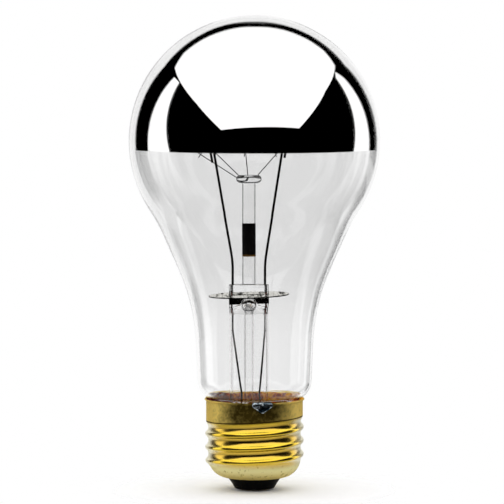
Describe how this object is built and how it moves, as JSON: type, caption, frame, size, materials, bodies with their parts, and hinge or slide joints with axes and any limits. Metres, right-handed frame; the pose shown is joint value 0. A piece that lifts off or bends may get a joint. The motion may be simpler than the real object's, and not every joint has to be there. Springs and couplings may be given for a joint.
{
  "type": "mirror top bulb",
  "caption": "Clear glass incandescent bulb with a mirrored crown that throws the light back down, on a brass screw cap with a black glass insulator.",
  "frame": {"origin": "lowest point of the end contact's solder, on the axis of the screw cap", "axes": "+Z along the axis from the screw cap to the mirrored crown, -Y towards the picture's viewer"},
  "size_m": [0.0666, 0.0666, 0.1264],
  "materials": {
    "clear_glass": "clear blown soda glass",
    "mirror_coating": "mirror, vapour-coated",
    "stem_glass": "clear lead glass",
    "getter": "matt dark paint",
    "heat_shield": "polished sheet",
    "lead_nickel": "drawn nickel wire",
    "seal_copper": "copper-clad wire",
    "tungsten": "tungsten coil",
    "molybdenum": "molybdenum wire",
    "outer_lead": "dull soft wire",
    "brass": "bright rolled brass",
    "black_glass": "glossy black glass",
    "solder": "dull solder",
    "cement": "matt baked cement"
  },
  "bodies": {
    "root": {"arbor_rod": "stem_glass", "basing_cement": "cement", "contact_eyelet": "brass", "envelope": "clear_glass", "exhaust_tube": "stem_glass", "filament": "tungsten", "getter_band": "getter", "heat_shield": "heat_shield", "inner_lead_left": "lead_nickel", "inner_lead_right": "lead_nickel", "insulator": "black_glass", "mirror_coating": "mirror_coating", "outer_lead_side": "outer_lead", "outer_lead_tip": "outer_lead", "screw_shell": "brass", "seal_wire_left": "seal_copper", "seal_wire_right": "seal_copper", "side_solder": "solder", "stem_flare": "stem_glass", "support_wire_1": "molybdenum", "support_wire_2": "molybdenum", "support_wire_3": "molybdenum", "support_wire_4": "molybdenum", "tip_solder": "solder"}
  },
  "joints": []
}
